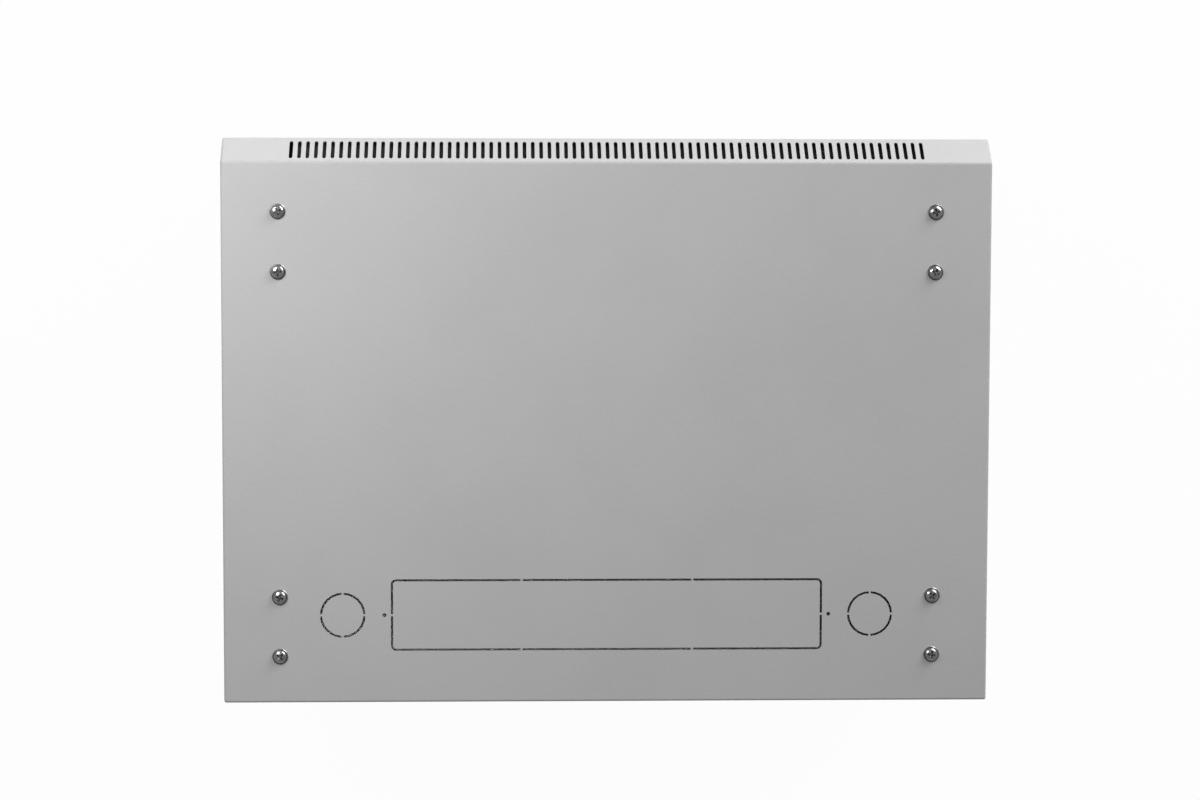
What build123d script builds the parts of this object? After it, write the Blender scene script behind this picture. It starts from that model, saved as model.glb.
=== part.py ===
from build123d import *
import math
import os

# A 19-inch wall cabinet of bent sheet steel, bolted together from flat parts.
# Millimetres. X runs left to right, the door is at -Y, the wall at +Y, and Z is up.
# The origin is the middle of the footprint, at the foot of the bottom screw heads.

# Whole cabinet
WIDTH = 600.0
DEPTH = 441.5
HEIGHT = 368.0  # from the bottom panel's outer face to the top panel's
SHEET = 1.2
REVEAL = 2.0  # gap left between neighbouring covers
BEND = 3.0  # outer radius of a bend across the cabinet
SIDE_BEND = 1.8  # outer radius of the bends along the side edges

# Top and bottom panels
BEVEL = 18.5  # the sloping front edge goes this far forward
BEVEL_DROP = 22.0  # and this far down
LIP = 8.0  # upright strip below the slope
FLANGE = 20.0  # edge turned down at the sides and the rear
STOP_LIP = 12.0  # strip that the closed door rests against
STOP_SETBACK = 24.0  # from the front edge to the stop lip
STOP_END = 24.0  # the stop lip ends this far from the sides, to let the door swing

# Ventilation slots in the sloping edge
SLOT_COUNT = 77
SLOT_PITCH = 6.47
SLOT_LENGTH = 20.8
SLOT_WIDTH = 2.9

# Sides of round outlines where they are few, to keep the model light
TOP_SLOT_FACETS = 3  # facets of a slot's half-round end
BOTTOM_SLOT_FACETS = 1  # the hidden slots are square-ended
HEAD_SIDES = 8
SHANK_SIDES = 6
SMALL_HOLE_SIDES = 8
KNOCKOUT_SIDES = 24
CORNER_FACETS = 3
LOCK_SIDES = 24
BUSH_SIDES = 12

# Knock-outs for cables
CUT_WIDTH = 1.8
LONG_KNOCKOUT = (337.0, 54.8)
LONG_KNOCKOUT_CORNER = 3.0
LONG_KNOCKOUT_TABS = 67.0  # bridges on the long sides, from the middle
ROUND_KNOCKOUT = 34.0
ROUND_KNOCKOUT_X = 207.0
KNOCKOUT_TO_REAR = 69.0
BRIDGE = 1.6
PILOT_HOLE = 3.0
PILOT_X = 174.4

# Screws that hold the panels to the posts, M6 pan head with a captive washer
SCREW_FROM_SIDE = 44.0
SCREW_PITCH = 46.8
SCREW_BEHIND_FOLD = 38.4
SCREW_TO_REAR = 36.6
SCREW_SHANK = 6.0
SCREW_LENGTH = 9.0
SCREW_HEAD = 10.4
SCREW_HEAD_HEIGHT = 2.6
WASHER = 12.4
WASHER_THICKNESS = 1.0
CLEARANCE_HOLE = 6.6
TAPPED_HOLE = 6.1

# Posts: the front pair are the 19-inch rails
UNITS = 6
UNIT = 44.45
RACK_OPENING = 450.0
RACK_HOLE_OUT = 7.55  # from the opening's edge to the hole centres
RACK_HOLE = 9.5
RACK_HOLE_STEPS = (6.35, 22.225, 38.1)  # hole centres above the foot of each unit
POST_SHEET = 2.0
POST_FROM_SIDE = 30.0
POST_EDGE = 11.8  # from a post's face to its nearer screw
POST_RETURN = 15.0
REAR_FLANGE = 30.0
TAB_REACH = 30.0
TAB_MARGIN = 8.5  # tab beyond each screw
POST_END_GAP = 5.0

# Rear panel
WALL_HOLE = 10.0
WALL_HOLES_X = 400.0
WALL_HOLES_Z = 240.0
TUCK = 15.0  # rear panel inside the flanges of the top and bottom panels

# Door
DOOR_RECESS = 2.0
DOOR_DEPTH = 20.0
DOOR_GAP = 1.5
DOOR_BORDER_X = 60.0
DOOR_BORDER_Z = 40.0
DOOR_RETURN = 12.0
WINDOW_CORNER = 6.0
GLASS = 4.0
GLASS_LAP = 12.0
GLASS_SEAL = 1.5
RETAINER_FOOT = 10.0
RETAINER_LAP = 7.0
FREE = 0.5  # play between the glass and its retainers
SEAL_THICKNESS = 1.7
SEAL_WIDTH = 8.0

# Door hinge: pins in the panels turn in bushes in the door
PIN_FROM_SIDE = 7.0
PIN_FROM_BACK = 7.0
PIN = 5.0
PIN_REACH = 10.0
PIN_HEAD = 9.0
PIN_HEAD_HEIGHT = 1.5
RUNNING = 0.06  # radial clearance of a turning fit
BUSH_WALL = 1.6
BUSH_FLANGE = 2.0
BUSH_FLANGE_HEIGHT = 1.2
BUSH_LENGTH = 9.0

# Cam locks, the same in the door and in both side panels
LOCK_LENGTH = 23.0  # from the sheet's outer face to the barrel's end
LOCK_BARREL = 19.0
LOCK_FLANGE = 23.0
LOCK_FLANGE_THICKNESS = 1.2
LOCK_PLUG = 12.0
FIT = 0.03  # radial clearance of a fixed fit
LOCK_NUT = 23.0  # across the flats
LOCK_NUT_THICKNESS = 4.0
KEY_SLOT = (8.0, 1.6)
KEY_SLOT_DEPTH = 6.0
PLUG_TAIL = 6.0
CAM_THICKNESS = 2.0
CAM_WIDTH = 13.0
CAM_GAP = 0.3
DOOR_LOCK_FROM_SIDE = 23.0
DOOR_CAM_REACH = 23.0

# Strike behind which the door cam turns
STRIKE_SHEET = 1.5
STRIKE_HEIGHT = 36.0
STRIKE_FOOT = 18.0
STRIKE_PLATE = 12.0
STRIKE_CLEARANCE = 2.5  # between the turned cam's tip and the strike's web

# Side panels
SIDE_INSET = 1.5
SIDE_RETURN = 12.0
SIDE_TUCK = 10.0  # behind the bottom panel's flange
SIDE_LOCK_DROP = 18.0  # lock centre below the top return
CAM_CRANK = 16.0
CAM_OVERLAP = 8.0  # cam behind the top panel's flange
CAM_SHEET_GAP = 0.9
LOCK_NOTCH = 56.0

# Places worked out from the sizes
FRONT = -DEPTH / 2
REAR = DEPTH / 2
FOLD = FRONT + BEVEL
FOOT = SCREW_HEAD_HEIGHT + WASHER_THICKNESS
TOP = FOOT + HEIGHT
MIDDLE = FOOT + HEIGHT / 2
SHELF = BEVEL_DROP + LIP  # from a panel's outer face to the shelf that the door turns under
FRONT_SCREWS = FOLD + SCREW_BEHIND_FOLD
REAR_SCREWS = REAR - SCREW_TO_REAR
SCREW_X = WIDTH / 2 - SCREW_FROM_SIDE
POST_WEB_X = WIDTH / 2 - POST_FROM_SIDE
POST_DEPTH = SCREW_PITCH + 2 * POST_EDGE
RAIL_FACE = FRONT_SCREWS - POST_EDGE
REAR_INNER = REAR - 2 * SHEET  # inner face of the rear panel
DOOR_FACE = FRONT + DOOR_RECESS
DOOR_BACK = DOOR_FACE + DOOR_DEPTH
DOOR_BOTTOM = FOOT + SHELF + DOOR_GAP
DOOR_TOP = TOP - SHELF - DOOR_GAP
DOOR_HEIGHT = DOOR_TOP - DOOR_BOTTOM
PIN_X = -WIDTH / 2 + PIN_FROM_SIDE
PIN_Y = DOOR_BACK - PIN_FROM_BACK
LOCK_X = WIDTH / 2 - DOOR_LOCK_FROM_SIDE
SIDE_FACE = WIDTH / 2 - SIDE_INSET
SIDE_FRONT = FRONT + STOP_SETBACK + 2 * REVEAL
SIDE_REAR = REAR_INNER - FLANGE - REVEAL
SIDE_BOTTOM = FOOT + FLANGE - SIDE_TUCK
SIDE_TOP = TOP - FLANGE - REVEAL
SIDE_LOCK_Z = SIDE_TOP - SHEET - SIDE_LOCK_DROP
SIDE_LOCK_Y = (SIDE_FRONT + SIDE_REAR) / 2
LOCK_BACK = LOCK_LENGTH + CAM_GAP + CAM_THICKNESS  # back of the cam behind the sheet's outer face
BUSH = PIN + 2 * RUNNING + 2 * BUSH_WALL
GLASS_WIDTH = WIDTH - 2 * DOOR_BORDER_X + 2 * GLASS_LAP
GLASS_HEIGHT = DOOR_HEIGHT - 2 * DOOR_BORDER_Z + 2 * GLASS_LAP
SKIN_BACK = DOOR_FACE + SHEET

PICKING = 0.01  # slack when edges are picked by their place
ACROSS = Plane(origin=(0, 0, 0), x_dir=(0, 1, 0), z_dir=(1, 0, 0))  # draws in Y and Z, extrudes along X


def block(low, high):
    """A box between two opposite corners."""
    size = [b - a for a, b in zip(low, high)]
    return Pos(*[(a + b) / 2 for a, b in zip(low, high)]) * Box(*size)


def bent_sheet(points, thickness, bend):
    """Section of a bent sheet: the points run along its outer face, and the metal lies to their left."""
    line = FilletPolyline(*points, radius=bend) if bend else Polyline(*points)
    return make_face(offset(line, amount=thickness, side=Side.LEFT, closed=True))


def mirrored(solid):
    """The same piece on the other side of the cabinet."""
    return mirror(solid, about=Plane.YZ)


def turned_over(solid):
    """A piece of the top moved to the bottom."""
    return Pos(0, 0, 2 * MIDDLE) * mirror(solid, about=Plane.XY)


def few_sided(diameter, sides):
    """A round outline made of a few flats, with its corners on the circle."""
    return RegularPolygon(diameter / 2, sides)


def few_sided_hole(diameter, sides):
    """A hole made of a few flats that touch the circle, so that what fits the circle passes."""
    return RegularPolygon(diameter / 2, sides, major_radius=False)


def slot_outline(end_facets):
    """A ventilation slot whose ends are half circles of a few facets, or square with one facet."""
    radius = SLOT_WIDTH / 2
    straight = SLOT_LENGTH / 2 - (radius if end_facets > 1 else 0)
    points = []
    for middle, start in ((straight, 0), (-straight, math.pi)):
        for step in range(end_facets + 1):
            angle = start + math.pi * step / end_facets
            points.append((radius * math.cos(angle), middle + radius * math.sin(angle)))
    return make_face(Polyline(*points, close=True))


def round_cornered(length, width, corner):
    """A rectangle whose corners are quarter circles of a few facets."""
    points = []
    for quarter, (x_side, y_side) in enumerate(((1, 1), (-1, 1), (-1, -1), (1, -1))):
        middle = Vector(x_side * (length / 2 - corner), y_side * (width / 2 - corner))
        for step in range(CORNER_FACETS + 1):
            angle = math.pi / 2 * (quarter + step / CORNER_FACETS)
            points.append(middle + Vector(corner * math.cos(angle), corner * math.sin(angle)))
    return make_face(Polyline(*points, close=True))


def knockout_cuts():
    """The lines cut round the three knock-outs, interrupted by bridges, and the two pilot holes."""
    length, width = LONG_KNOCKOUT
    corner = LONG_KNOCKOUT_CORNER
    cuts = round_cornered(length + CUT_WIDTH, width + CUT_WIDTH, corner + CUT_WIDTH / 2)
    cuts -= round_cornered(length - CUT_WIDTH, width - CUT_WIDTH, corner - CUT_WIDTH / 2)
    cuts -= Locations((-LONG_KNOCKOUT_TABS, 0), (LONG_KNOCKOUT_TABS, 0)) * Rectangle(BRIDGE, 2 * width)
    cuts -= Rectangle(2 * length, BRIDGE)
    for side in (-1, 1):
        ring = few_sided(ROUND_KNOCKOUT + CUT_WIDTH, KNOCKOUT_SIDES)
        ring -= few_sided(ROUND_KNOCKOUT - CUT_WIDTH, KNOCKOUT_SIDES)
        ring -= Rectangle(BRIDGE, 2 * ROUND_KNOCKOUT)
        ring -= Rectangle(2 * ROUND_KNOCKOUT, BRIDGE)
        cuts += Pos(side * ROUND_KNOCKOUT_X, 0) * ring
        cuts += Pos(side * PILOT_X, 0) * few_sided_hole(PILOT_HOLE, SMALL_HOLE_SIDES)
    return Pos(0, REAR - KNOCKOUT_TO_REAR) * cuts


def screw_places():
    """The eight screw positions on a panel, in plan."""
    rows = (FRONT_SCREWS, FRONT_SCREWS + SCREW_PITCH, REAR_SCREWS - SCREW_PITCH, REAR_SCREWS)
    return [(side * SCREW_X, y) for side in (-1, 1) for y in rows]


def panel_outline():
    """Side view of the top panel, filled: flat top, sloping front, upright lip and the shelf's underside."""
    corners = [
        ((REAR, TOP - FLANGE), 0),
        ((REAR, TOP), SIDE_BEND),
        ((FOLD, TOP), BEND),
        ((FRONT, TOP - BEVEL_DROP), BEND),
        ((FRONT, TOP - SHELF), BEND),
        ((FRONT + STOP_SETBACK, TOP - SHELF), 0),
        ((FRONT + STOP_SETBACK, TOP - FLANGE), 0),
    ]
    points = [point for point, radius in corners]
    radii = [radius for point, radius in corners]
    return make_face(FilletPolyline(*points, radius=radii, close=True))


def cover_tray():
    """The bent sheet of a panel without its holes: a tray open underneath, with a shelf in front."""
    outline = panel_outline()
    outer = extrude(ACROSS * outline, WIDTH / 2, both=True)
    end_faces = outer.faces().sort_by(Axis.X)
    flange_foot = TOP - FLANGE + PICKING
    shelf_back = FRONT + STOP_SETBACK - PICKING
    side_edges = [
        edge
        for end_face in (end_faces[0], end_faces[-1])
        for edge in end_face.edges()
        if edge.center().Z > flange_foot or edge.center().Y < shelf_back
    ]
    outer = fillet(side_edges, SIDE_BEND)
    open_front = Rectangle(STOP_SETBACK, SHELF - FLANGE + SHEET, align=(Align.MIN, Align.MIN))
    open_rear = Rectangle(REAR - SHEET - FRONT - STOP_SETBACK, 3 * SHEET, align=(Align.MIN, Align.MIN))
    inside = offset(outline, -SHEET)
    inside += Pos(FRONT + 2 * BEND, TOP - SHELF + SHEET) * open_front
    inside += Pos(FRONT + STOP_SETBACK, TOP - FLANGE - SHEET) * open_rear
    return outer - extrude(ACROSS * inside, WIDTH / 2 - SHEET, both=True)


def cover_panel(slot_facets):
    """The top panel: the tray, the lip that stops the door, the slots, the knock-outs and the holes."""
    panel = cover_tray()
    stop_points = [
        (FRONT + BEND, TOP - SHELF),
        (FRONT + STOP_SETBACK, TOP - SHELF),
        (FRONT + STOP_SETBACK, TOP - SHELF - STOP_LIP),
    ]
    stop = bent_sheet(stop_points, SHEET, 0)
    panel += extrude(ACROSS * stop, WIDTH / 2 - STOP_END, both=True)
    slope_middle = (0, FOLD - BEVEL / 2, TOP - BEVEL_DROP / 2)
    slope = Plane(origin=slope_middle, x_dir=(1, 0, 0), z_dir=(0, -BEVEL_DROP, BEVEL))
    slots = Sketch() + GridLocations(SLOT_PITCH, 0, SLOT_COUNT, 1) * slot_outline(slot_facets)
    panel -= extrude(slope * slots, 2 * SHEET, both=True)
    holes = Sketch() + Locations(*screw_places()) * few_sided_hole(CLEARANCE_HOLE, SMALL_HOLE_SIDES)
    panel -= extrude(Pos(0, 0, TOP) * (knockout_cuts() + holes), 2 * SHEET, both=True)
    pin_hole = extrude(few_sided_hole(PIN + 2 * FIT, SMALL_HOLE_SIDES), 2 * SHEET, both=True)
    return panel - Pos(PIN_X, PIN_Y, TOP - SHELF) * pin_hole


def screw():
    """One screw with its captive washer, head up, with the washer's underside at the origin."""
    washer = extrude(few_sided(WASHER, HEAD_SIDES), WASHER_THICKNESS)
    head = extrude(few_sided(SCREW_HEAD, HEAD_SIDES), WASHER_THICKNESS + SCREW_HEAD_HEIGHT)
    shank = Pos(0, 0, -SCREW_LENGTH) * extrude(few_sided(SCREW_SHANK, SHANK_SIDES), SCREW_LENGTH)
    return washer + head + shank


def top_screw_set():
    """The eight screws of the top panel."""
    return [Pos(x, y, TOP) * screw() for x, y in screw_places()]


def post(face, back, flange_inner, side_of_face):
    """A post on the right: C-shaped, from its flange at face to its return at back, with two end tabs.

    side_of_face is 1 where the metal lies behind the flange's face and -1 where it lies before it.
    """
    low, high = FOOT + SHEET, TOP - SHEET
    points = [
        (flange_inner, face),
        (POST_WEB_X, face),
        (POST_WEB_X, back),
        (POST_WEB_X - POST_RETURN, back),
    ]
    if side_of_face < 0:
        points = points[::-1]
    section = bent_sheet(points, POST_SHEET, BEND)
    body = Pos(0, 0, low + POST_END_GAP) * extrude(section, high - low - 2 * POST_END_GAP)
    return body


def end_tab(first_screw):
    """The post's bent end: an upright leg on the web and a tab with two tapped holes, for the top."""
    points = [
        (POST_WEB_X, TOP - SHEET - 4 * POST_END_GAP),
        (POST_WEB_X, TOP - SHEET),
        (POST_WEB_X - TAB_REACH, TOP - SHEET),
    ]
    angle = bent_sheet(points, POST_SHEET, BEND)
    length = SCREW_PITCH + 2 * TAB_MARGIN
    middle = first_screw + SCREW_PITCH / 2
    tab = Pos(0, middle, 0) * extrude(Plane.XZ * angle, length / 2, both=True)
    for place in (first_screw, first_screw + SCREW_PITCH):
        hole = few_sided_hole(TAPPED_HOLE, SMALL_HOLE_SIDES)
        tab -= Pos(SCREW_X, place, TOP) * extrude(hole, 2 * POST_SHEET, both=True)
    return tab


def with_tabs(body, first_screw):
    """A post's body with an end tab at the top and one at the bottom."""
    tab = end_tab(first_screw)
    return body + tab + turned_over(tab)


def rack_holes():
    """The square holes of one 19-inch rail, three to a unit."""
    foot = MIDDLE - UNITS * UNIT / 2
    heights = [foot + unit * UNIT + step for unit in range(UNITS) for step in RACK_HOLE_STEPS]
    places = [(RACK_OPENING / 2 + RACK_HOLE_OUT, RAIL_FACE, height) for height in heights]
    return [Pos(*place) * Box(RACK_HOLE, 4 * POST_SHEET, RACK_HOLE) for place in places]


def front_rail():
    """The right front post: a 19-inch rail."""
    body = post(RAIL_FACE, RAIL_FACE + POST_DEPTH, RACK_OPENING / 2, 1)
    return with_tabs(body, FRONT_SCREWS) - rack_holes()


def rear_post():
    """The right rear post, whose flange lies against the rear panel."""
    front_edge = REAR_SCREWS - SCREW_PITCH - POST_EDGE
    body = post(REAR_INNER, front_edge, POST_WEB_X - REAR_FLANGE, -1)
    return with_tabs(body, REAR_SCREWS - SCREW_PITCH)


def rear_panel():
    """The rear wall: a sheet with side flanges, its ends tucked inside the top and bottom panels."""
    low, high = FOOT + FLANGE + REVEAL, TOP - FLANGE - REVEAL
    points = [
        (-WIDTH / 2, REAR_INNER - FLANGE),
        (-WIDTH / 2, REAR_INNER + SHEET),
        (WIDTH / 2, REAR_INNER + SHEET),
        (WIDTH / 2, REAR_INNER - FLANGE),
    ]
    section = bent_sheet(points[::-1], SHEET, BEND)
    panel = Pos(0, 0, low) * extrude(section, high - low)
    tuck_x = WIDTH / 2 - SHEET - BEND
    panel += block(
        (-tuck_x, REAR_INNER, low - REVEAL - TUCK),
        (tuck_x, REAR_INNER + SHEET, high + REVEAL + TUCK),
    )
    holes = Sketch() + GridLocations(WALL_HOLES_X, WALL_HOLES_Z, 2, 2) * Circle(WALL_HOLE / 2)
    return panel - Pos(0, REAR_INNER, MIDDLE) * Rot(90, 0, 0) * extrude(holes, 3 * SHEET, both=True)


def door_frame():
    """The door's sheet frame: a shallow pan with inward returns at its sides, a window and a lock hole."""
    outer = block((-WIDTH / 2, DOOR_FACE, DOOR_BOTTOM), (WIDTH / 2, DOOR_BACK, DOOR_TOP))
    outer = fillet(outer.faces().sort_by(Axis.Y)[0].edges(), SIDE_BEND)
    inner_x, return_x = WIDTH / 2 - SHEET, WIDTH / 2 - DOOR_RETURN
    low, high = DOOR_BOTTOM + SHEET, DOOR_TOP - SHEET
    frame = outer - block((-inner_x, SKIN_BACK, low), (inner_x, DOOR_BACK - SHEET, high))
    frame -= block((-return_x, SKIN_BACK, low), (return_x, DOOR_BACK + SHEET, high))
    window = RectangleRounded(WIDTH - 2 * DOOR_BORDER_X, DOOR_HEIGHT - 2 * DOOR_BORDER_Z, WINDOW_CORNER)
    frame -= Pos(0, DOOR_FACE, MIDDLE) * Rot(90, 0, 0) * extrude(window, 2 * SHEET, both=True)
    bush_holes = extrude(few_sided_hole(BUSH + 2 * FIT, BUSH_SIDES), DOOR_HEIGHT, both=True)
    frame -= Pos(PIN_X, PIN_Y, MIDDLE) * bush_holes
    return frame - lock_hole(door_lock_place())


def glass_pane(width, height, depth, thickness):
    """A flat pane in the door, its front face this far behind the skin."""
    pane = extrude(Rectangle(width, height), thickness / 2, both=True)
    return Pos(0, SKIN_BACK + depth + thickness / 2, MIDDLE) * Rot(90, 0, 0) * pane


def glass_seal():
    """The foam ring between the door's skin and the glass."""
    outer = glass_pane(GLASS_WIDTH, GLASS_HEIGHT, 0, GLASS_SEAL)
    return outer - glass_pane(GLASS_WIDTH - 2 * GLASS_LAP, GLASS_HEIGHT - 2 * GLASS_LAP, 0, GLASS_SEAL)


def glass_retainers():
    """Four Z-shaped strips, fixed to the skin round the glass, that hold it against its seal."""
    behind = GLASS_SEAL + GLASS
    points = [(-RETAINER_LAP, behind), (FREE, behind), (FREE, 0), (RETAINER_FOOT, 0)]
    section = bent_sheet(points, SHEET, 0)
    top_plane = Plane(origin=(0, SKIN_BACK, MIDDLE + GLASS_HEIGHT / 2), x_dir=(0, 0, 1), z_dir=(-1, 0, 0))
    side_plane = Plane(origin=(GLASS_WIDTH / 2, SKIN_BACK, MIDDLE), x_dir=(1, 0, 0), z_dir=(0, 0, 1))
    top = extrude(top_plane * section, GLASS_WIDTH / 2 - RETAINER_LAP - FREE, both=True)
    side = extrude(side_plane * section, GLASS_HEIGHT / 2 - RETAINER_LAP - FREE, both=True)
    return [top, turned_over(top), side, mirrored(side)]


def hinge_pin():
    """The upper pin, riveted in the top panel's shelf and pointing down into the door."""
    head = Pos(0, 0, TOP - SHELF + SHEET) * extrude(few_sided(PIN_HEAD, HEAD_SIDES), PIN_HEAD_HEIGHT)
    shank = Pos(0, 0, TOP - SHELF - PIN_REACH) * extrude(Circle(PIN / 2), PIN_REACH + SHEET)
    return Pos(PIN_X, PIN_Y, 0) * (head + shank)


def hinge_bush():
    """The upper bush: a flanged sleeve in the door's top edge, in which the pin turns."""
    flange = extrude(few_sided(BUSH + 2 * BUSH_FLANGE, BUSH_SIDES), BUSH_FLANGE_HEIGHT)
    sleeve = Pos(0, 0, -BUSH_LENGTH) * extrude(few_sided(BUSH, BUSH_SIDES), BUSH_LENGTH)
    bore = Cylinder(PIN / 2 + RUNNING, 4 * BUSH_LENGTH)
    return Pos(PIN_X, PIN_Y, DOOR_TOP) * (flange + sleeve - bore)


def door_seals():
    """Foam strips on the stop lips, which the closed door's edges meet."""
    half = WIDTH / 2 - STOP_END - REVEAL
    front = FRONT + STOP_SETBACK - SEAL_THICKNESS
    top = block((-half, front, DOOR_TOP - SEAL_WIDTH), (half, FRONT + STOP_SETBACK, DOOR_TOP))
    return [top, turned_over(top)]


def strike():
    """The bracket on the right rail behind which the door's cam turns."""
    web_x = LOCK_X - DOOR_CAM_REACH - STRIKE_CLEARANCE - STRIKE_SHEET
    plate_face = DOOR_FACE + LOCK_LENGTH - STRIKE_SHEET
    points = [
        (web_x + STRIKE_FOOT, RAIL_FACE),
        (web_x, RAIL_FACE),
        (web_x, plate_face),
        (web_x + STRIKE_PLATE, plate_face),
    ]
    section = bent_sheet(points, STRIKE_SHEET, 0)
    return Pos(0, 0, MIDDLE) * extrude(section, STRIKE_HEIGHT / 2, both=True)


def door_lock_place():
    """Where the door's lock stands: its local +Z comes out of the door, and its local +X points up."""
    return Plane(origin=(LOCK_X, DOOR_FACE, MIDDLE), x_dir=(0, 0, 1), z_dir=(0, -1, 0)).location


def side_lock_place():
    """Where the right side panel's lock stands: +Z comes out of the panel, and +X points to the rear."""
    origin = (SIDE_FACE, SIDE_LOCK_Y, SIDE_LOCK_Z)
    return Plane(origin=origin, x_dir=(0, 1, 0), z_dir=(1, 0, 0)).location


def lock_hole(place):
    """The hole for a lock's barrel."""
    return place * extrude(few_sided_hole(LOCK_BARREL + 2 * FIT, LOCK_SIDES), 3 * SHEET, both=True)


def lock_body():
    """A cam lock's fixed body: a flange on the sheet and a threaded barrel behind it."""
    flange = extrude(few_sided(LOCK_FLANGE, LOCK_SIDES), LOCK_FLANGE_THICKNESS)
    barrel = Pos(0, 0, -LOCK_LENGTH) * extrude(few_sided(LOCK_BARREL, LOCK_SIDES), LOCK_LENGTH)
    return flange + barrel - Cylinder(LOCK_PLUG / 2 + RUNNING, 4 * LOCK_LENGTH)


def lock_nut():
    """The thin hexagon nut that clamps the body to the sheet."""
    outline = few_sided_hole(LOCK_NUT, 6) - few_sided_hole(LOCK_BARREL + 2 * FIT, LOCK_SIDES)
    return Pos(0, 0, -SHEET - LOCK_NUT_THICKNESS) * extrude(outline, LOCK_NUT_THICKNESS)


def lock_plug():
    """The part that the key turns, with a square tail that carries the cam."""
    core = Pos(0, 0, -LOCK_LENGTH) * extrude(Circle(LOCK_PLUG / 2), LOCK_LENGTH + LOCK_FLANGE_THICKNESS)
    key_slot = Pos(0, 0, LOCK_FLANGE_THICKNESS) * Box(*KEY_SLOT, 2 * KEY_SLOT_DEPTH)
    tail = Pos(0, 0, -LOCK_BACK) * extrude(Rectangle(PLUG_TAIL, PLUG_TAIL), LOCK_BACK - LOCK_LENGTH)
    return core - key_slot + tail


def tail_hole():
    """The square hole in a cam."""
    return Box(PLUG_TAIL + 2 * FIT, PLUG_TAIL + 2 * FIT, 4 * LOCK_LENGTH)


def flat_cam():
    """The door's cam: a flat tongue along local +X, round at the plug's end."""
    tongue = Rectangle(DOOR_CAM_REACH, CAM_WIDTH, align=(Align.MIN, Align.CENTER)) + Circle(CAM_WIDTH / 2)
    return Pos(0, 0, -LOCK_BACK) * extrude(tongue, CAM_THICKNESS) - tail_hole()


def cranked_cam():
    """A side panel's cam: cranked outward, so that its tip goes up behind the top panel's flange."""
    reach = REVEAL + SHEET + SIDE_LOCK_DROP + CAM_OVERLAP
    tip = -SHEET - CAM_SHEET_GAP - CAM_THICKNESS
    points = [(-CAM_WIDTH / 2, -LOCK_BACK), (CAM_CRANK, -LOCK_BACK), (CAM_CRANK, tip), (reach, tip)]
    section = bent_sheet(points, CAM_THICKNESS, 0)
    return extrude(Plane.XZ * section, CAM_WIDTH / 2, both=True) - tail_hole()


def side_panel():
    """The right side panel: a shallow pan whose foot stands behind the bottom panel's flange."""
    back = SIDE_FACE - SIDE_RETURN
    outer = block((back, SIDE_FRONT, SIDE_BOTTOM), (SIDE_FACE, SIDE_REAR, SIDE_TOP))
    outer = fillet(outer.faces().sort_by(Axis.X)[-1].edges(), SIDE_BEND)
    inner_low = (back - SHEET, SIDE_FRONT + SHEET, SIDE_BOTTOM + SHEET)
    inner_high = (SIDE_FACE - SHEET, SIDE_REAR - SHEET, SIDE_TOP - SHEET)
    notch_low = (back - SHEET, SIDE_LOCK_Y - LOCK_NOTCH / 2, SIDE_TOP - 2 * SHEET)
    notch_high = (SIDE_FACE - SIDE_BEND, SIDE_LOCK_Y + LOCK_NOTCH / 2, SIDE_TOP + SHEET)
    return outer - block(inner_low, inner_high) - block(notch_low, notch_high) - lock_hole(side_lock_place())


def write(name, *solids):
    """Writes one node, whose solids stay separate."""
    shape = Compound([solid for piece in solids for solid in piece.solids()])
    export_step(shape, f"parts/{name}.step")


def main():
    os.makedirs("parts", exist_ok=True)

    write("top_panel", cover_panel(TOP_SLOT_FACETS))
    write("bottom_panel", turned_over(cover_panel(BOTTOM_SLOT_FACETS)))
    top_screws = top_screw_set()
    write("top_screws", *top_screws)
    write("bottom_screws", *[turned_over(one) for one in top_screws])

    rail = front_rail()
    write("front_right_rail", rail)
    write("front_left_rail", mirrored(rail))
    corner_post = rear_post()
    write("rear_right_post", corner_post)
    write("rear_left_post", mirrored(corner_post))
    write("rear_panel", rear_panel())

    write("door_frame", door_frame())
    write("door_glass", glass_pane(GLASS_WIDTH, GLASS_HEIGHT, GLASS_SEAL, GLASS))
    write("glass_seal", glass_seal())
    write("glass_retainers", *glass_retainers())
    write("door_seals", *door_seals())
    pin = hinge_pin()
    write("upper_hinge_pin", pin)
    write("lower_hinge_pin", turned_over(pin))
    bush = hinge_bush()
    write("upper_hinge_bush", bush)
    write("lower_hinge_bush", turned_over(bush))
    write("door_strike", strike())

    door_place = door_lock_place()
    write("door_lock_body", door_place * lock_body())
    write("door_lock_nut", door_place * lock_nut())
    write("door_lock_plug", door_place * lock_plug())
    write("door_lock_cam", door_place * flat_cam())

    side_place = side_lock_place()
    side_pieces = {
        "side_panel": side_panel(),
        "lock_body": side_place * lock_body(),
        "lock_nut": side_place * lock_nut(),
        "lock_plug": side_place * lock_plug(),
        "lock_cam": side_place * cranked_cam(),
    }
    for name, piece in side_pieces.items():
        write(f"right_{name}", piece)
        write(f"left_{name}", mirrored(piece))


main()
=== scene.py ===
import math

import bmesh
import bpy
from mathutils import Matrix, Vector


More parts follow.
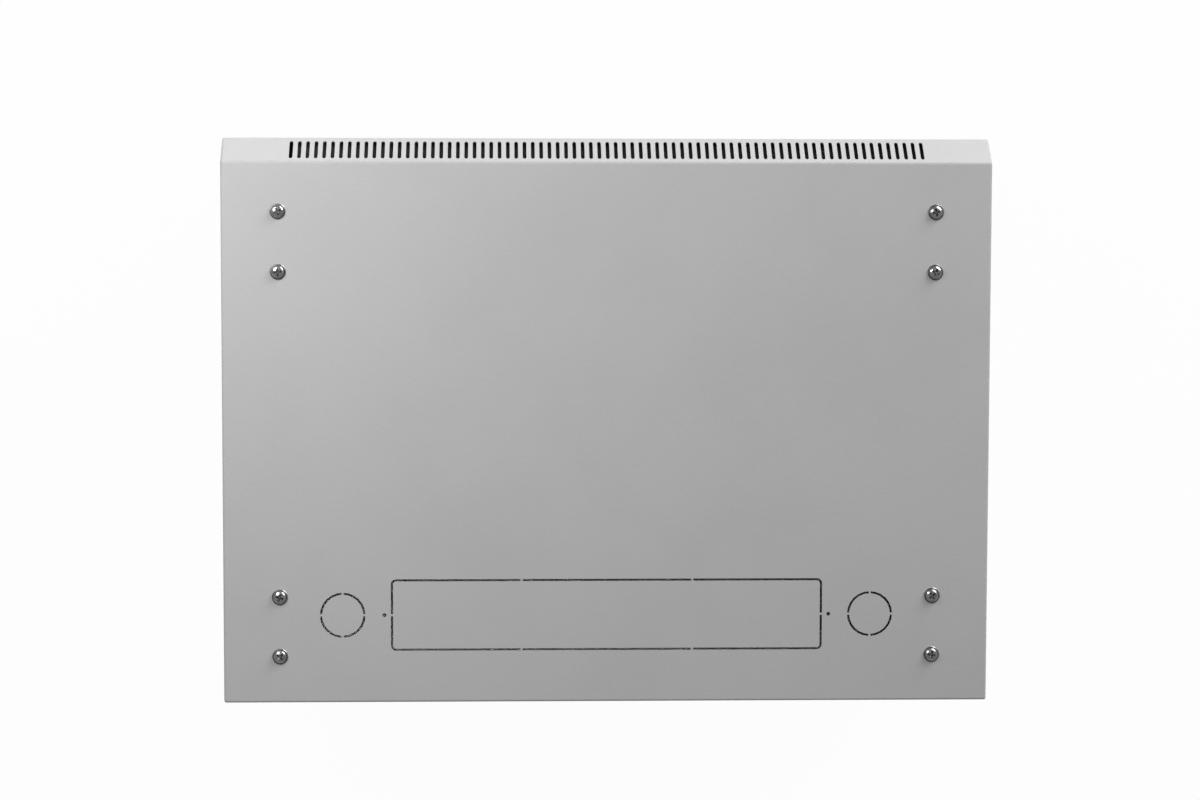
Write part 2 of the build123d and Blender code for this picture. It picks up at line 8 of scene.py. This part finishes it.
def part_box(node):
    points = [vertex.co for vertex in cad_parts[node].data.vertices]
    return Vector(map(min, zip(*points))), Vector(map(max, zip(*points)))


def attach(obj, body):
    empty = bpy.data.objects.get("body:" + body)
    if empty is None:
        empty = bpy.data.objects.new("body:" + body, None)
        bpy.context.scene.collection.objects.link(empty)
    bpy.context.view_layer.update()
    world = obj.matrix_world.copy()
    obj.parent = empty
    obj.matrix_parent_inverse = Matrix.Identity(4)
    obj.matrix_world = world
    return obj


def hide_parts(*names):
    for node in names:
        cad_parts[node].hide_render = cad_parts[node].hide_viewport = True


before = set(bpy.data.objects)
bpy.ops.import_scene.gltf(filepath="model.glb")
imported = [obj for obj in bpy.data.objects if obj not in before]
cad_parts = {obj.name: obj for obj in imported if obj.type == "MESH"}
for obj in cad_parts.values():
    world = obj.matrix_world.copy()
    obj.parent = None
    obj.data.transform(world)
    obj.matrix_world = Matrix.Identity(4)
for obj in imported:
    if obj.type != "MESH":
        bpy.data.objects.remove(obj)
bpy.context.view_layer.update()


# Sheet panels: top, bottom, rear wall, door frame and the two sides.
# Bent from 1.2 mm steel and powder coated light grey. The coat has a fine grain, a shade
# lighter on its high spots, with an orange-peel swell under it and broad duller patches.
class Value:
    """A number that changes over a surface. Python's operators on it add Math nodes."""

    def __init__(self, finish, socket):
        self.finish = finish
        self.socket = socket

    def maths(self, operation, *numbers):
        return self.finish.add("Math", dict(enumerate(numbers)), operation=operation)

    def __add__(self, other):
        return self.maths("ADD", self, other)

    def __sub__(self, other):
        return self.maths("SUBTRACT", self, other)

    def __rsub__(self, other):
        return self.maths("SUBTRACT", other, self)

    def __mul__(self, other):
        return self.maths("MULTIPLY", self, other)

    def __abs__(self):
        return self.maths("ABSOLUTE", self)

    __radd__ = __add__
    __rmul__ = __mul__

    def at_least(self, other):
        return self.maths("MAXIMUM", self, other)

    def at_most(self, other):
        return self.maths("MINIMUM", self, other)

    def between(self, low, high):
        """0 up to low, 1 from high, and a soft step from one to the other."""
        sockets = {"Value": self, "From Min": low, "From Max": high}
        return self.finish.add("MapRange", sockets, interpolation_type="SMOOTHSTEP")

    def output(self, name):
        """An output of the node that this value comes from."""
        return Value(self.finish, self.socket.node.outputs[name])


class Finish:
    """A procedural material."""

    def __init__(self, name):
        self.material = bpy.data.materials.new(name)
        self.material.use_nodes = True
        self.tree = self.material.node_tree
        self.tree.nodes.clear()

    def add(self, kind, sockets=None, out=0, **settings):
        """Adds one node: its type, its settings, and the values or links of its sockets."""
        node = self.tree.nodes.new("ShaderNode" + kind)
        for name, setting in settings.items():
            setattr(node, name, setting)
        for key, value in (sockets or {}).items():
            if isinstance(value, Value):
                self.tree.links.new(value.socket, node.inputs[key])
            else:
                node.inputs[key].default_value = value
        return Value(self, node.outputs[out]) if node.outputs else None

    def place(self):
        """The point on the surface, in metres in the cabinet's own frame."""
        return self.add("TexCoord", out="Object")

    def grain(self, size, detail=2, rough=0.5, stretch=(1, 1, 1)):
        """Noise about 0.5 whose lumps are size metres across, drawn out along an axis by stretch."""
        scale = [1 / (size * s) for s in stretch]
        point = self.add("Mapping", {"Vector": self.place(), "Scale": scale})
        return self.add("TexNoise", {"Vector": point, "Scale": 1, "Detail": detail, "Roughness": rough})

    def blend(self, share, first, second):
        """The first colour turning into the second as share goes from 0 to 1."""
        return self.add("Mix", {0: share, 6: first, 7: second}, out=2, data_type="RGBA")

    def shade(self, shader):
        """Makes shader the material's surface."""
        self.add("OutputMaterial", {"Surface": shader})


def dress(finish, *nodes):
    """Gives CAD nodes a finish in place of the plain one they came with."""
    for name in nodes:
        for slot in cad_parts[name].material_slots:
            slot.material = finish.material


COAT_GREY = (0.55, 0.55, 0.55, 1)
COAT_THIN = (0.62, 0.62, 0.62, 1)
COAT_DULL = (0.525, 0.525, 0.525, 1)
COAT_GRAIN = 0.0014  # metres, as are the other sizes where no unit stands
ORANGE_PEEL = 0.005
DULL_PATCH = 0.12

coat = Finish("powder_coat")
fine = coat.grain(COAT_GRAIN, detail=3, rough=0.6)
swell = coat.grain(ORANGE_PEEL, detail=1)
handling = coat.grain(DULL_PATCH, detail=4, rough=0.6)
tone = coat.blend(handling.between(0.35, 0.7), COAT_GREY, COAT_DULL)
tone = coat.blend((fine - 0.5) * 0.5 + 0.12, tone, COAT_THIN)

# Painted shade: behind the slots of the top and bottom panels, the channel between the sloping
# front, the lip and the shelf is coloured near black for the shade that falls in it. The sizes
# are those of the panels' section.
CHANNEL_SHADE = (0.05, 0.05, 0.052, 1)
SHEET_HALF = 0.0006
SLOPE_RUN = 0.0185
SLOPE_DROP = 0.022
SHELF_DEPTH = 0.03
BEND_OUTSIDE = 0.003
SHADE_UP_TO = 1.4 * SLOPE_RUN
UNSHADED_FROM = 1.9 * SLOPE_RUN
slope_length = math.hypot(SLOPE_RUN, SLOPE_DROP)
(left_end, front, _), (_, _, top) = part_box("top_panel")
middle = (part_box("bottom_panel")[0].z + top) / 2
spot = coat.add("SeparateXYZ", {"Vector": coat.place()})
inward = spot.output("Y") - front
under = (top - middle) - abs(spot.output("Z") - middle)
behind_slope = (inward - SLOPE_RUN) * (SLOPE_DROP / slope_length) + under * (SLOPE_RUN / slope_length)
channel_shade = behind_slope.between(0, 1.5 * SHEET_HALF)
channel_shade = channel_shade * inward.between(0, SHEET_HALF) * under.between(0, SHEET_HALF)
channel_shade = channel_shade * (1 - inward.between(SHADE_UP_TO, UNSHADED_FROM))
channel_shade = channel_shade * (1 - under.between(SHELF_DEPTH - SHEET_HALF, SHELF_DEPTH))
channel_shade = channel_shade * (inward - under + SHELF_DEPTH).between(BEND_OUTSIDE, BEND_OUTSIDE + SHEET_HALF)
across = abs(spot.output("X"))
channel_shade = channel_shade * (1 - across.between(-left_end - 2 * SHEET_HALF, -left_end - SHEET_HALF))
# The channel's painted shade goes into the coat's colour.
tone = coat.blend(channel_shade, tone, CHANNEL_SHADE)
relief = coat.add("Bump", {"Height": fine * 0.7 + swell * 0.3, "Strength": 0.3, "Distance": 0.0004})
coat.shade(
    coat.add(
        "BsdfPrincipled",
        {
            "Base Color": tone,
            "Roughness": handling * 0.14 + fine * 0.1 + 0.34,
            "Normal": relief,
            "Specular IOR Level": 0.45,
        },
    )
)
dress(coat, "top_panel", "bottom_panel", "rear_panel", "door_frame", "right_side_panel", "left_side_panel")


# Rails, rear posts, door strike and glass retainers.
# Cut and bent from galvanised strip without paint. The zinc shows broad flat crystals and
# faint upright drawing lines.
ZINC_LIGHT = (0.64, 0.65, 0.66, 1)
ZINC_DARK = (0.50, 0.51, 0.53, 1)
CRYSTAL = 0.007
DRAWING_LINE = 0.0006

galvanised = Finish("galvanised")
spread = galvanised.add("Mapping", {"Vector": galvanised.place(), "Scale": [1 / CRYSTAL] * 3})
crystals = galvanised.add("TexVoronoi", {"Vector": spread, "Scale": 1}, out="Color")
tint = galvanised.add("SeparateColor", {"Color": crystals})
lines = galvanised.grain(DRAWING_LINE, detail=2, stretch=(1, 1, 60))
bands = galvanised.add("Bump", {"Height": lines, "Strength": 0.06, "Distance": 0.0002})
galvanised.shade(
    galvanised.add(
        "BsdfPrincipled",
        {
            "Base Color": galvanised.blend(tint * 0.8 + lines * 0.2, ZINC_DARK, ZINC_LIGHT),
            "Metallic": 0.85,
            "Roughness": tint * 0.14 + lines * 0.08 + 0.32,
            "Normal": bands,
        },
    )
)
dress(galvanised, "front_right_rail", "front_left_rail", "rear_right_post", "rear_left_post")
dress(galvanised, "glass_retainers", "door_strike")


# Panel screws: M6 pan heads with a cross recess and a captive washer, bright zinc plated.
# They run through the panel into the tapped tabs of the posts. Each was driven home on its
# own, so no two recesses stand at the same turn.
HEAD_ROUND = 48  # facets round the head
SCREW_PROFILE = (  # half outline in mm from the tip to the crown: radius, height above the washer's foot
    (0.0, -9.0),
    (2.5, -9.0),
    (2.95, -8.4),
    (2.95, -0.2),
    (5.9, 0.0),
    (6.2, 0.2),
    (6.2, 0.7),
    (6.0, 0.9),
    (5.3, 0.92),
    (5.1, 1.05),
    (5.2, 1.3),
    (5.1, 1.8),
    (4.75, 2.35),
    (4.15, 2.85),
    (3.3, 3.23),
    (2.3, 3.47),
    (1.2, 3.57),
    (0.0, 3.6),
)
RECESS_STEPS = (  # half length and half width of the cross's arms, and the height, in mm
    (3.35, 0.85, 4.4),
    (3.1, 0.78, 3.4),
    (2.0, 0.55, 2.0),
    (0.8, 0.35, 1.1),
)
GROOVE = (0.0049, 0.0057)  # metres; the gap round the head, over the washer
HEAD_HEIGHT = SCREW_PROFILE[-1][1] / 1000
WASHER_RADIUS = max(radius for radius, _ in SCREW_PROFILE) / 1000
PAIR_PITCH = 0.0468  # metres between the two screws near a corner
TURNS = (12, 63, 38, 81, 24, 5, 72, 47)  # degrees


def piece_of(name, shape):
    """The finished mesh as an object in the scene."""
    mesh = bpy.data.meshes.new(name)
    shape.to_mesh(mesh)
    shape.free()
    piece = bpy.data.objects.new(name, mesh)
    bpy.context.scene.collection.objects.link(piece)
    return piece


def lathe(name, profile, steps):
    """A turned piece from its half outline in millimetres, its foot at the origin."""
    shape = bmesh.new()
    points = [shape.verts.new((radius / 1000, 0, height / 1000)) for radius, height in profile]
    edges = [shape.edges.new(pair) for pair in zip(points, points[1:])]
    bmesh.ops.spin(
        shape, geom=points + edges, axis=(0, 0, 1), cent=(0, 0, 0), angle=2 * math.pi, steps=steps
    )
    bmesh.ops.remove_doubles(shape, verts=shape.verts, dist=1e-6)
    bmesh.ops.recalc_face_normals(shape, faces=shape.faces)
    return piece_of(name, shape)


def recess_cutter():
    """A tapered cross with a pointed foot that sinks into a screw head."""
    shape = bmesh.new()
    rings = []
    for reach, arm, height in RECESS_STEPS:
        corners = ((reach, -arm), (reach, arm), (arm, arm))
        ring = []
        for quarter in range(4):
            turn = Matrix.Rotation(quarter * math.pi / 2, 3, "Z")
            for x, y in corners:
                ring.append(shape.verts.new(turn @ Vector((x, y, height)) / 1000))
        rings.append(ring)
    for above, below in zip(rings, rings[1:]):
        for side in range(len(above)):
            after = (side + 1) % len(above)
            shape.faces.new((above[side], below[side], below[after], above[after]))
    shape.faces.new(rings[0])
    shape.faces.new(rings[-1][::-1])
    bmesh.ops.recalc_face_normals(shape, faces=shape.faces)
    return piece_of("recess", shape)


def finished_mesh(piece):
    """The piece's mesh with its modifiers applied. The piece itself goes."""
    bpy.context.view_layer.update()
    worked = piece.evaluated_get(bpy.context.evaluated_depsgraph_get())
    mesh = bpy.data.meshes.new_from_object(worked)
    bpy.data.objects.remove(piece)
    return mesh


def cross_recess_screw():
    """One screw's mesh, head up, with the washer's foot at the origin."""
    blank = lathe("screw_blank", SCREW_PROFILE, HEAD_ROUND)
    cutter = recess_cutter()
    cut = blank.modifiers.new("recess", "BOOLEAN")
    cut.object = cutter
    cut.solver = "EXACT"
    mesh = finished_mesh(blank)
    bpy.data.objects.remove(cutter)
    longest = RECESS_STEPS[0][0] / 1000
    lowest = RECESS_STEPS[-1][2] / 1000
    # Faces in the cross recess and in the groove round the head are marked for painted shade.
    painted_shade = mesh.attributes.new("painted_shade", "FLOAT", "CORNER")
    for face in mesh.polygons:
        reach = face.center.xy.length
        in_recess = reach < longest and face.center.z > lowest / 2 and face.normal.z < 0.8
        in_groove = GROOVE[0] < reach < GROOVE[1] and face.center.z > 0
        for corner in face.loop_indices:
            painted_shade.data[corner].value = 1.0 if in_recess or in_groove else 0.0
    return mesh


def screw_set(name, one, upward, finish):
    """Eight screws as one piece, in pairs near the panel's corners, each turned its own way."""
    low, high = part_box(name)
    front_row = low.y + WASHER_RADIUS
    rear_row = high.y - WASHER_RADIUS
    rows = (front_row, front_row + PAIR_PITCH, rear_row - PAIR_PITCH, rear_row)
    places = [(side * (high.x - WASHER_RADIUS), y) for side in (-1, 1) for y in rows]
    foot = high.z - HEAD_HEIGHT if upward else low.z + HEAD_HEIGHT
    over = Matrix.Identity(4) if upward else Matrix.Rotation(math.pi, 4, "X")
    shape = bmesh.new()
    for (x, y), turn in zip(places, TURNS):
        copy = one.copy()
        turned = Matrix.Rotation(math.radians(turn), 4, "Z")
        copy.transform(Matrix.Translation((x, y, foot)) @ over @ turned)
        shape.from_mesh(copy)
        bpy.data.meshes.remove(copy)
    piece = piece_of(name + "_detailed", shape)
    piece.data.materials.append(finish.material)
    piece.data.shade_smooth()
    soften = piece.modifiers.new("sharp_edges", "EDGE_SPLIT")
    soften.split_angle = math.radians(35)
    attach(piece, "cabinet")
    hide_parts(name)


zinc = Finish("zinc_screw")
PLATING_BRIGHT = (0.66, 0.66, 0.67, 1)
PLATING_DULL = (0.46, 0.46, 0.48, 1)
# Painted shade: near-black colour for the screws' cross recess and the groove round the head.
RECESS_SHADE = (0.09, 0.09, 0.09, 1)
PLATING_GRAIN = 0.0012
PLATING_PATCH = 0.004
plating = zinc.grain(PLATING_GRAIN, detail=3)
patches = zinc.grain(PLATING_PATCH, detail=2)
painted_shade_share = zinc.add("Attribute", out="Fac", attribute_name="painted_shade")
plated_tone = zinc.blend(patches.between(0.3, 0.7), PLATING_BRIGHT, PLATING_DULL)
zinc.shade(
    zinc.add(
        "BsdfPrincipled",
        {
            "Base Color": zinc.blend(painted_shade_share * 0.85, plated_tone, RECESS_SHADE),
            "Metallic": 0.9,
            "Roughness": plating * 0.16 + painted_shade_share * 0.2 + 0.12,
            "Normal": zinc.add("Bump", {"Height": plating, "Strength": 0.1, "Distance": 0.0002}),
        },
    )
)

screw_mesh = cross_recess_screw()
screw_set("top_screws", screw_mesh, True, zinc)
screw_set("bottom_screws", screw_mesh, False, zinc)


# Cam locks of the door and the sides: a chromed zinc casting with its key plug, clamped to
# the sheet by a thin nut. The chrome is polished, and handling has dulled it in small patches.
CHROME_CLEAN = (0.52, 0.52, 0.53, 1)
CHROME_DULL = (0.40, 0.40, 0.41, 1)
WIPE = 0.003

plated = Finish("lock_chrome")
wipes = plated.grain(WIPE, detail=3)
plated.shade(
    plated.add(
        "BsdfPrincipled",
        {
            "Base Color": plated.blend(wipes, CHROME_CLEAN, CHROME_DULL),
            "Metallic": 1.0,
            "Roughness": wipes * 0.22 + 0.16,
            "Normal": plated.add("Bump", {"Height": wipes, "Strength": 0.04, "Distance": 0.0002}),
        },
    )
)
for owner in ("door", "right", "left"):
    dress(plated, f"{owner}_lock_body", f"{owner}_lock_nut", f"{owner}_lock_plug")


# Lock cams and hinge pins: blanked and turned steel, zinc plated, with a coarse satin surface.
# A cam sits on the end of its lock's plug, and the pins are riveted to the top and bottom panels.
SATIN_LIGHT = (0.66, 0.65, 0.62, 1)
SATIN_DARK = (0.52, 0.52, 0.50, 1)
TUMBLE_MARK = 0.0015

steel = Finish("cam_steel")
tumble = steel.grain(TUMBLE_MARK, detail=4, rough=0.6)
steel.shade(
    steel.add(
        "BsdfPrincipled",
        {
            "Base Color": steel.blend(tumble, SATIN_LIGHT, SATIN_DARK),
            "Metallic": 0.95,
            "Roughness": tumble * 0.25 + 0.28,
            "Normal": steel.add("Bump", {"Height": tumble, "Strength": 0.12, "Distance": 0.0002}),
        },
    )
)
dress(steel, "door_lock_cam", "right_lock_cam", "left_lock_cam", "upper_hinge_pin", "lower_hinge_pin")


# Hinge bushes: moulded black nylon with a faint spark-eroded grain.
# They sit in the door frame's upper and lower edges and turn on the hinge pins.
NYLON_DARK = (0.028, 0.028, 0.03, 1)
NYLON_WORN = (0.05, 0.05, 0.052, 1)
SPARK_GRAIN = 0.0005

nylon = Finish("nylon")
spark = nylon.grain(SPARK_GRAIN, detail=2)
nylon.shade(
    nylon.add(
        "BsdfPrincipled",
        {
            "Base Color": nylon.blend(spark, NYLON_DARK, NYLON_WORN),
            "Roughness": spark * 0.2 + 0.42,
            "Normal": nylon.add("Bump", {"Height": spark, "Strength": 0.15, "Distance": 0.0002}),
        },
    )
)
dress(nylon, "upper_hinge_bush", "lower_hinge_bush")


# Foam: the ring that beds the glass and the strips that the closed door meets.
# Black closed-cell foam tape, whose cut cells catch a little light.
FOAM_WALL = (0.035, 0.035, 0.035, 1)
FOAM_PIT = (0.014, 0.014, 0.014, 1)
CELLS_PER_METRE = 1400

foam = Finish("black_foam")
cells = foam.add("TexVoronoi", {"Vector": foam.place(), "Scale": CELLS_PER_METRE}, out="Distance")
foam.shade(
    foam.add(
        "BsdfPrincipled",
        {
            "Base Color": foam.blend(cells, FOAM_WALL, FOAM_PIT),
            "Roughness": cells * 0.2 + 0.75,
            "Normal": foam.add("Bump", {"Height": cells, "Strength": 0.5, "Distance": 0.0004}),
        },
    )
)
dress(foam, "glass_seal", "door_seals")


# Door glass: a clear toughened pane with a faint green body and a few wiping marks.
# It lies in its foam ring in the door frame, under the four retainer strips.
GLASS_CLEAR = (0.93, 0.97, 0.955, 1)
GLASS_WIPED = (0.90, 0.945, 0.93, 1)
SMEAR = 0.05

glass = Finish("door_glass")
smears = glass.grain(SMEAR, detail=4, rough=0.65, stretch=(3, 1, 1))
glass.shade(
    glass.add(
        "BsdfPrincipled",
        {
            "Base Color": glass.blend(smears, GLASS_CLEAR, GLASS_WIPED),
            "Roughness": smears.between(0.5, 0.9) * 0.05 + 0.01,
            "IOR": 1.5,
            "Transmission Weight": 1.0,
        },
    )
)
dress(glass, "door_glass")


# Ground: a plain pale floor. It is seen as near white from just outside the cabinet's outline
# and keeps the shadow that the cabinet throws closer in.
FLOOR_REACH = 30.0
SIDE_SHADOW = (0.29, 0.33)  # metres from the middle: all shadow up to the first, white from the second
DEPTH_SHADOW = (0.215, 0.245)
SHADOW_MIDDLE = 0.02
WHITE_SHARE = 0.97

ground = Finish("floor")
path = ground.add("LightPath", out="Is Camera Ray")
seen = path + path.output("Is Glossy Ray") + path.output("Is Transmission Ray")
seen = seen.at_most(1.0)
white = ground.add("Emission", {"Color": (1, 1, 1, 1), "Strength": 1.0})
paper = ground.add("BsdfDiffuse", {"Color": (0.82, 0.82, 0.82, 1)})
spot = ground.add("SeparateXYZ", {"Vector": ground.place()})
beside = abs(spot.output("X")).between(*SIDE_SHADOW)
beyond = abs(spot.output("Y") - SHADOW_MIDDLE).between(*DEPTH_SHADOW)
open_floor = beside.at_least(beyond)
ground.shade(ground.add("MixShader", {0: seen * open_floor * WHITE_SHARE, 1: paper, 2: white}))
floor_mesh = bpy.data.meshes.new("floor")
signs = ((-1, -1), (1, -1), (1, 1), (-1, 1))
floor_mesh.from_pydata([(x * FLOOR_REACH, y * FLOOR_REACH, 0) for x, y in signs], [], [(0, 1, 2, 3)])
floor_mesh.materials.append(ground.material)
floor = bpy.data.objects.new("floor", floor_mesh)
bpy.context.scene.collection.objects.link(floor)


# Light: a dim white surround, two soft lamps over the corner where the top panel is brightest,
# and two broad ones in front, toward the other side, which even out the slotted slope.
SURROUND_STRENGTH = 0.18

world = bpy.data.worlds.new("surround")
world.use_nodes = True
surround = world.node_tree.nodes["Background"].inputs
surround["Color"].default_value = (1, 1, 1, 1)
surround["Strength"].default_value = SURROUND_STRENGTH
bpy.context.scene.world = world


def lamp(name, place, target, side, power):
    """A soft square lamp that faces a target: its side in metres, its power in watts."""
    light = bpy.data.lights.new(name, "AREA")
    light.shape = "SQUARE"
    light.size = side
    light.energy = power
    holder = bpy.data.objects.new(name, light)
    bpy.context.scene.collection.objects.link(holder)
    holder.location = place
    holder.rotation_euler = (Vector(place) - Vector(target)).to_track_quat("Z", "Y").to_euler()


PANEL_CORNER = (0.15, -0.15, 0.35)
SLOPE_MIDDLE = (0.0, -0.2, 0.35)
lamp("key_lamp", (1.0, -0.8, 2.2), PANEL_CORNER, 0.7, 13)
lamp("corner_lamp", (0.5, -0.36, 0.8), PANEL_CORNER, 0.3, 1.45)
lamp("front_lamp", (-1.3, -1.9, 0.75), SLOPE_MIDDLE, 1.2, 20)
lamp("side_lamp", (-1.6, -1.5, 1.2), SLOPE_MIDDLE, 1.5, 26)


# Camera: a long lens almost straight above the top panel, with the cabinet's front at the top
# of the picture. Its place and turn were fitted to the panel's corners and screws.
CAMERA_PLACE = (0.091, -0.2054, 2.7045)
CAMERA_TURN = (-4.613, -2.08, -179.871)  # degrees

camera_data = bpy.data.cameras.new("camera")
camera_data.sensor_width = 36
camera_data.lens = 90
camera_data.clip_end = 100
camera = bpy.data.objects.new("camera", camera_data)
camera.location = CAMERA_PLACE
camera.rotation_euler = [math.radians(angle) for angle in CAMERA_TURN]
bpy.context.scene.collection.objects.link(camera)
bpy.context.scene.camera = camera
bpy.context.scene.view_settings.view_transform = "Standard"
